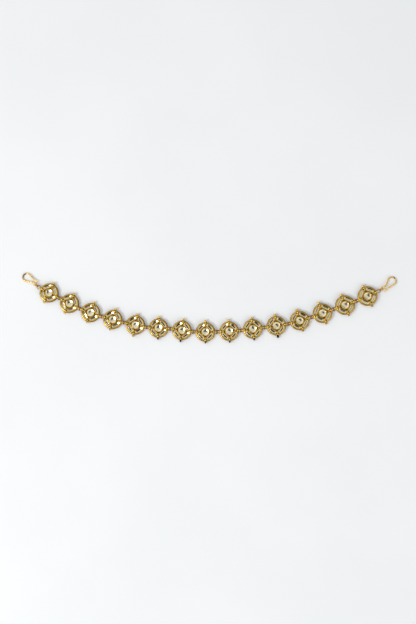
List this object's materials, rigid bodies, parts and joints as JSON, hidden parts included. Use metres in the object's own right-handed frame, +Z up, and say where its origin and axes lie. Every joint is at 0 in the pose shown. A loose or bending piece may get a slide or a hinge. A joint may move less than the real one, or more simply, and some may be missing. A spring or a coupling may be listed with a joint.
{
  "type": "matha patti",
  "caption": "Forehead and hairline ornament: round gold cases set with glass stones, linked side by side, with an open wire hook for the hair at each end.",
  "frame": {"origin": "on the surface it lies on, below the middle of the ornament's bounding box", "axes": "+X along the row towards its right end, +Y towards the hooks' side of the curve, +Z up out of the stones' faces"},
  "size_m": [0.3272, 0.0622, 0.0038],
  "materials": {
    "gold": "polished gold plate",
    "stone": "foil-backed faceted glass"
  },
  "bodies": {
    "root": {"case_01": "gold", "case_02": "gold", "case_03": "gold", "case_04": "gold", "case_05": "gold", "case_06": "gold", "case_07": "gold", "case_08": "gold", "case_09": "gold", "case_10": "gold", "case_11": "gold", "case_12": "gold", "case_13": "gold", "case_14": "gold", "case_15": "gold", "link_01": "gold", "link_02": "gold", "link_03": "gold", "link_04": "gold", "link_05": "gold", "link_06": "gold", "link_07": "gold", "link_08": "gold", "link_09": "gold", "link_10": "gold", "link_11": "gold", "link_12": "gold", "link_13": "gold", "link_14": "gold", "end_link_left_1": "gold", "end_link_left_2": "gold", "end_link_right_1": "gold", "end_link_right_2": "gold", "hook_left": "gold", "hook_right": "gold", "centre_stone_01": "stone", "centre_stone_02": "stone", "centre_stone_03": "stone", "centre_stone_04": "stone", "centre_stone_05": "stone", "centre_stone_06": "stone", "centre_stone_07": "stone", "centre_stone_08": "stone", "centre_stone_09": "stone", "centre_stone_10": "stone", "centre_stone_11": "stone", "centre_stone_12": "stone", "centre_stone_13": "stone", "centre_stone_14": "stone", "centre_stone_15": "stone"}
  },
  "joints": []
}
